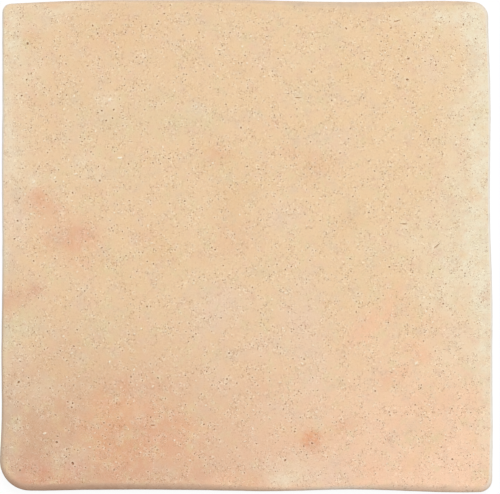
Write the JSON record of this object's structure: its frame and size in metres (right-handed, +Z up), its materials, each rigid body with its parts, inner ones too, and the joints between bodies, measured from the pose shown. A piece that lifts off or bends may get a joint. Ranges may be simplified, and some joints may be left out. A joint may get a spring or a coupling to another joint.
{
  "type": "porcelain tile",
  "caption": "Square rustic tile in a straw and peach clay look, with gently wavy sides, rounded corners, a soft worn rim and a shallow waffle key in its back for adhesive.",
  "frame": {"origin": "on the plane that the back rests on, under the middle of the tile, where two ribs of the back cross", "axes": "+Z up out of the face; +X to the right and +Y away from the reader as the face is looked down on"},
  "size_m": [0.201, 0.2009, 0.009],
  "materials": {
    "fired_clay": "matte"
  },
  "bodies": {
    "root": {"tile": "fired_clay"}
  },
  "joints": []
}
